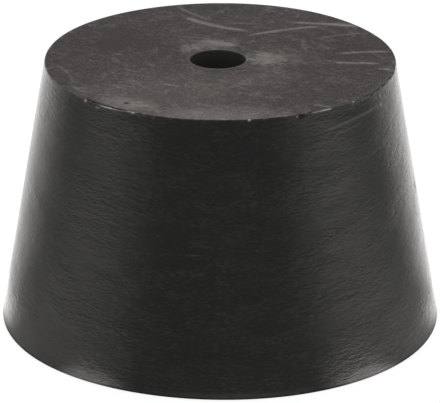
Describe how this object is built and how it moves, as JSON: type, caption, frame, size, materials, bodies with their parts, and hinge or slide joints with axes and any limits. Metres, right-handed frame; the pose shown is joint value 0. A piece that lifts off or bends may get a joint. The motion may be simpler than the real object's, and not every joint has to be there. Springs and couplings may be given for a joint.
{
  "type": "rubber stopper",
  "caption": "Tapered solid black rubber stopper with a straight through bore near its centre, for plugging a flask neck around a glass tube.",
  "frame": {"origin": "centre of the large end face, on the surface that the stopper stands on", "axes": "+Z is the taper's axis, from the large end to the small end; the bore runs along it, 0.3 mm off the centre; -Y is the side seen from the front"},
  "size_m": [0.0408, 0.0408, 0.0254],
  "materials": {
    "rubber": "black moulded rubber, matt, with a grey bloom on the small end face and a ground satin side wall"
  },
  "bodies": {
    "root": {"stopper": "rubber"}
  },
  "joints": []
}
